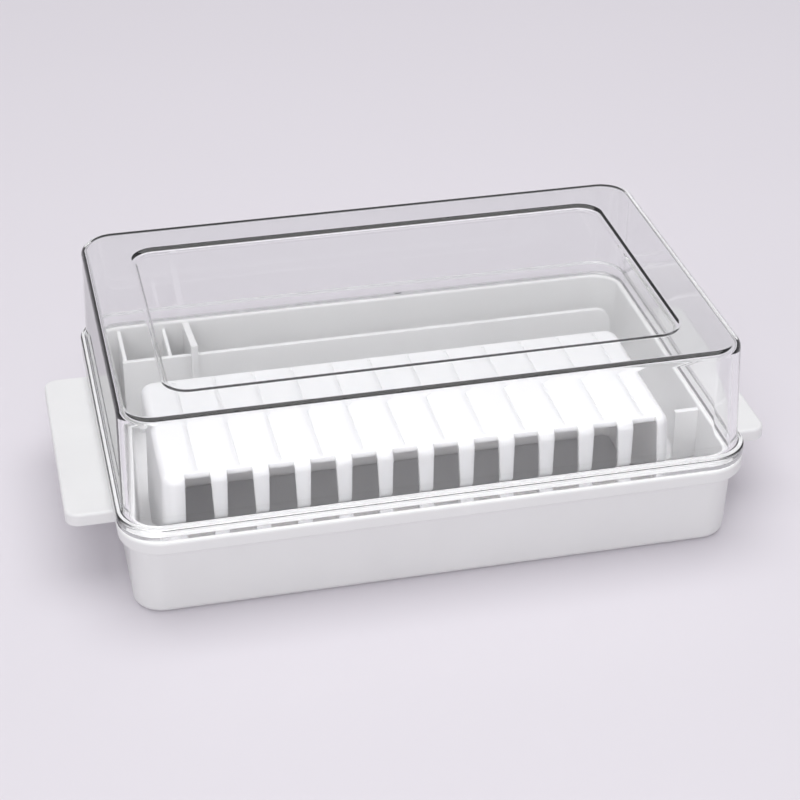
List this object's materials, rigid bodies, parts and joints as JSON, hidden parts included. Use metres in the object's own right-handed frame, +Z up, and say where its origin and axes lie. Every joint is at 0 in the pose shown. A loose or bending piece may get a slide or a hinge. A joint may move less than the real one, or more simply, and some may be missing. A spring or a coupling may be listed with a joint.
{
  "type": "soap loaf mould",
  "caption": "Rectangular lidded box for soap or butter: tray with end tabs, clear deep cover and a comb-fronted cutting guide.",
  "frame": {"origin": "middle of the tray's flat underside", "axes": "+X along the long side, +Y towards the back, +Z up"},
  "size_m": [0.2024, 0.1224, 0.062],
  "materials": {
    "tray_white": "satin moulded white",
    "cover_clear": "clear polished",
    "guide_white": "fine satin white"
  },
  "bodies": {
    "base": {"tray": "tray_white"},
    "guide": {"cutting_guide": "guide_white"},
    "lid": {"cover": "cover_clear"}
  },
  "joints": [
    {"name": "guide_lift", "type": "slide", "parent": "base", "child": "guide", "axis": [0, 0, 1], "range_m": [0, 0.09]},
    {"name": "cover_lift", "type": "slide", "parent": "guide", "child": "lid", "axis": [0, 0, 1], "range_m": [0, 0.12]}
  ]
}
